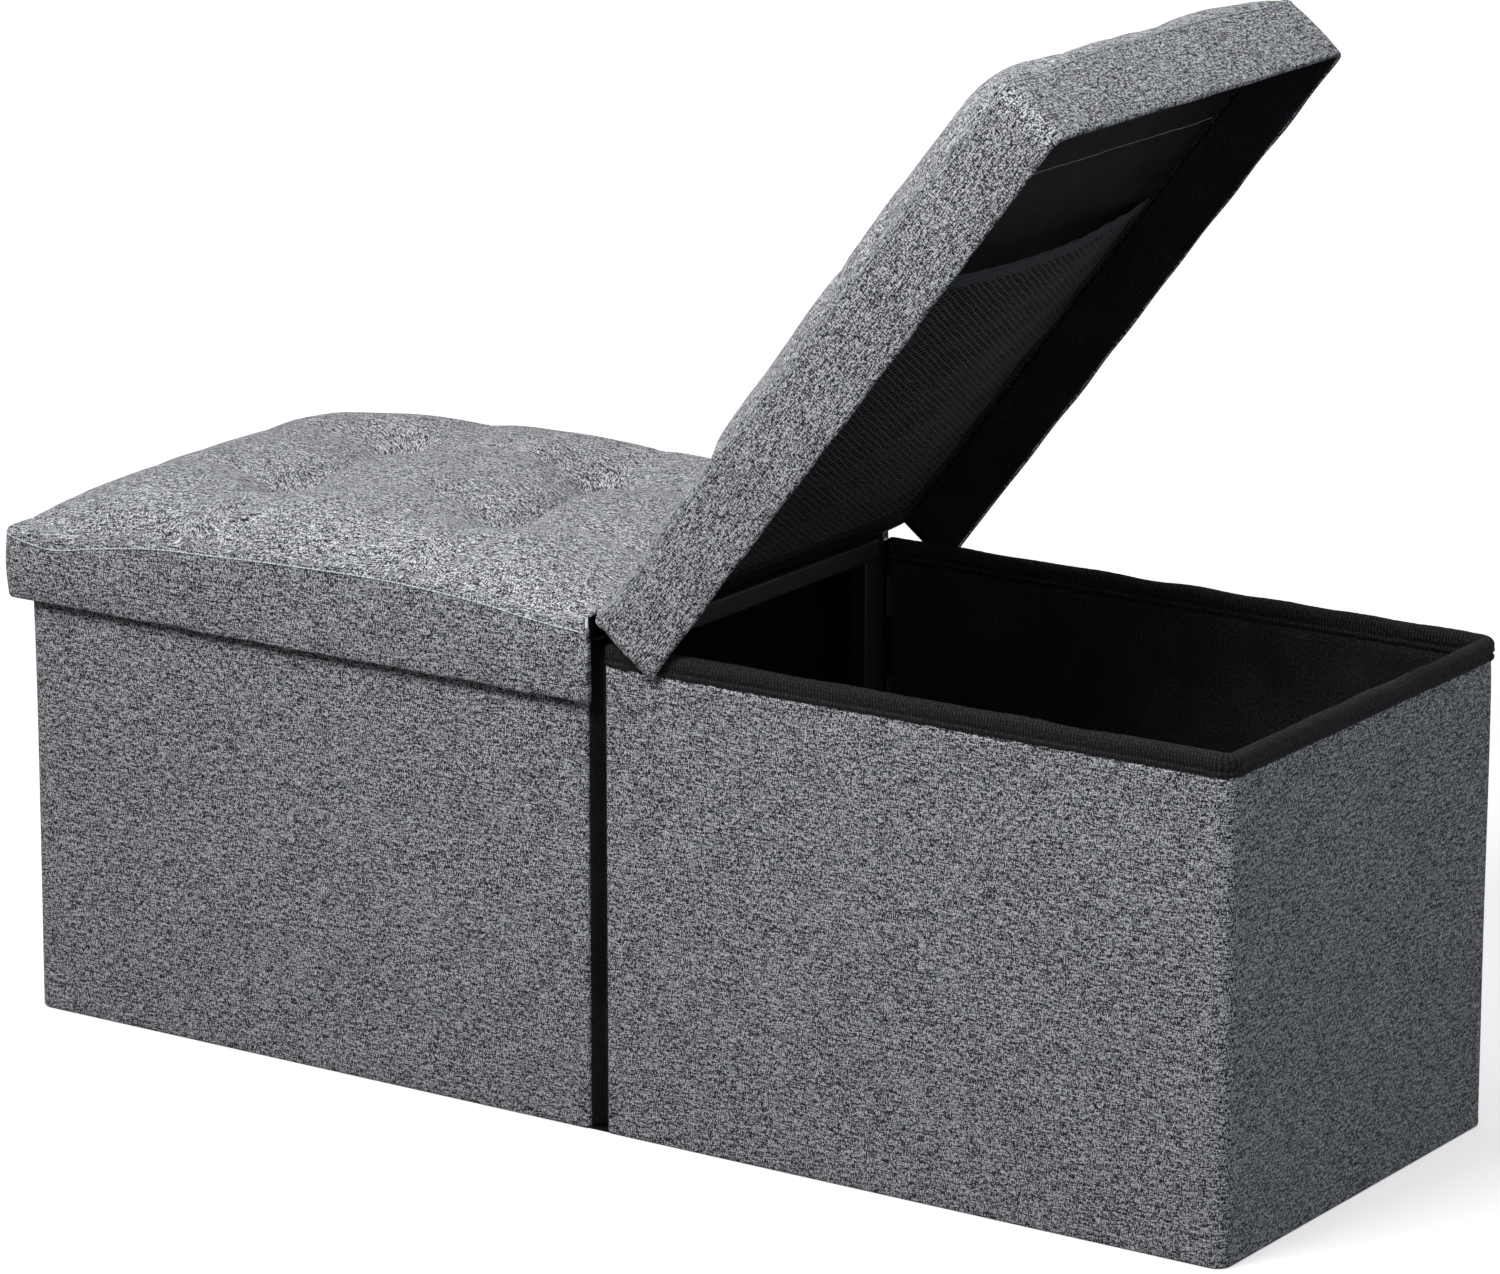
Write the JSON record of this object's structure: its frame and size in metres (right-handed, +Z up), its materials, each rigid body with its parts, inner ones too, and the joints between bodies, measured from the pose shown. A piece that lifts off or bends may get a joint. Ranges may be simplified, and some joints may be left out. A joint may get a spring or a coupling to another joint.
{
  "type": "ottoman with storage",
  "caption": "Folding storage ottoman bench: fabric-covered box in two halves with a padded, tufted lid hinged across the middle, one half open",
  "frame": {"origin": "on the floor, at the middle of the base, under the lid's hinge line", "axes": "+X along the bench towards the open half, -Y is the front, +Z up"},
  "size_m": [1.085, 0.4, 0.8244],
  "materials": {
    "grey_linen": "heather grey linen-look weave, matt",
    "black_cloth": "black non-woven lining cloth",
    "binding": "black padded cloth binding, ribbed",
    "floor_cloth": "fibreboard wrapped in black non-woven cloth",
    "fibreboard": "plain pressed fibreboard",
    "foam": "open-cell polyurethane foam",
    "black_steel": "black powder coat",
    "black_plastic": "moulded black plastic",
    "mesh": "black open mesh with fine crosswise bars",
    "elastic": "dark slate woven elastic"
  },
  "bodies": {
    "root": {"base_cloth": "black_cloth", "front_board_left": "fibreboard", "front_board_right": "fibreboard", "rear_board_left": "fibreboard", "rear_board_right": "fibreboard", "end_board_left_front": "fibreboard", "end_board_left_rear": "fibreboard", "end_board_right_front": "fibreboard", "end_board_right_rear": "fibreboard", "cover_left": "grey_linen", "cover_right": "grey_linen", "liner_left": "black_cloth", "liner_right": "black_cloth", "gusset_front": "black_cloth", "gusset_rear": "black_cloth", "rim_binding_left": "binding", "rim_binding_right": "binding", "frame_post_front": "black_steel", "frame_post_rear": "black_steel", "frame_top_bar": "black_steel", "frame_cross_bar": "black_steel", "frame_feet": "black_plastic", "frame_end_caps": "black_plastic", "floor_tape_left": "black_cloth", "floor_tape_right": "black_cloth"},
    "floor_left": {"floor_board_left": "floor_cloth", "floor_tab_left": "black_cloth"},
    "floor_right": {"floor_board_right": "floor_cloth", "floor_tab_right": "black_cloth"},
    "lid_left": {"lid_board_left": "fibreboard", "lid_lining_left": "black_cloth", "foam_left": "foam", "seat_cover_left": "grey_linen", "skirt_front_left": "grey_linen", "skirt_rear_left": "grey_linen", "skirt_end_left": "grey_linen", "lid_edge_left": "black_cloth", "lid_hinge": "black_cloth"},
    "lid_right": {"lid_board_right": "fibreboard", "lid_lining_right": "black_cloth", "foam_right": "foam", "seat_cover_right": "grey_linen", "skirt_front_right": "grey_linen", "skirt_rear_right": "grey_linen", "skirt_end_right": "grey_linen", "lid_edge_right": "black_cloth", "pocket_mesh": "mesh", "pocket_band": "elastic", "pocket_binding": "black_cloth"}
  },
  "joints": [
    {"name": "lid_lift", "type": "slide", "parent": "root", "child": "lid_left", "axis": [0, 0, 1], "range_m": [0, 0.15]},
    {"name": "lid_hinge_fold", "type": "hinge", "parent": "lid_left", "child": "lid_right", "pos_m": [0, 0, 0.397], "axis": [0, -1, 0], "range_deg": [-52, 84]},
    {"name": "floor_flap_left", "type": "hinge", "parent": "root", "child": "floor_left", "pos_m": [-0.2675, 0.182, 0.0078], "axis": [-1, 0, 0], "range_deg": [0, 85]},
    {"name": "floor_flap_right", "type": "hinge", "parent": "root", "child": "floor_right", "pos_m": [0.2675, 0.182, 0.0078], "axis": [-1, 0, 0], "range_deg": [0, 85]}
  ]
}
